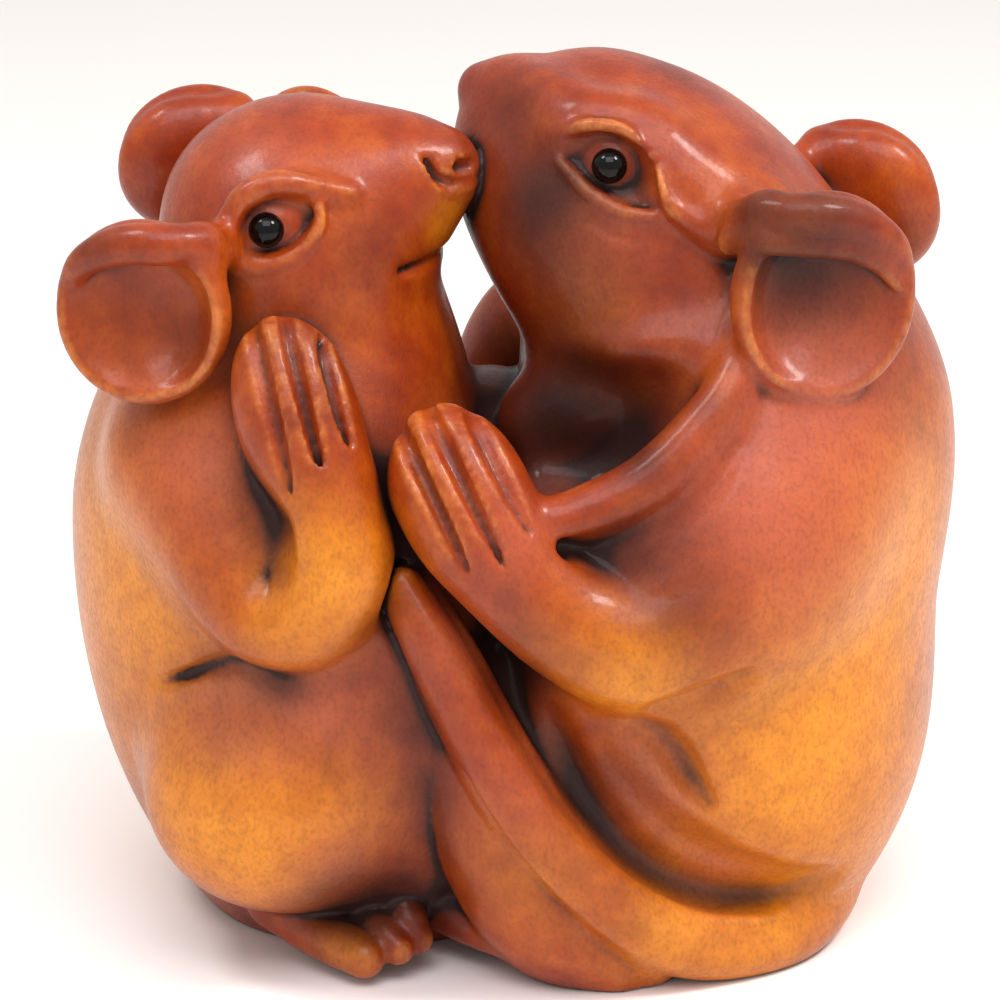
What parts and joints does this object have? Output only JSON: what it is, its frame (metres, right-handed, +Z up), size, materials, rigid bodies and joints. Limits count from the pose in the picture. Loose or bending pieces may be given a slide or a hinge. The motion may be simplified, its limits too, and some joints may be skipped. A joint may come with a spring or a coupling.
{
  "type": "carved rats netsuke",
  "caption": "Wooden netsuke carved in the round as rats sitting face to face and clasping each other, with inlaid black bead eyes and a flat underside.",
  "frame": {"origin": "middle of the flat underside, where the two bodies join", "axes": "+Z up, +X to the right as seen from the front, -Y towards the front"},
  "size_m": [0.0434, 0.034, 0.0431],
  "materials": {
    "boxwood": "satin",
    "eye_bead": "gloss"
  },
  "bodies": {
    "root": {"carved_rats": "boxwood", "left_rat_near_eye": "eye_bead", "left_rat_far_eye": "eye_bead", "right_rat_near_eye": "eye_bead", "right_rat_far_eye": "eye_bead"}
  },
  "joints": []
}
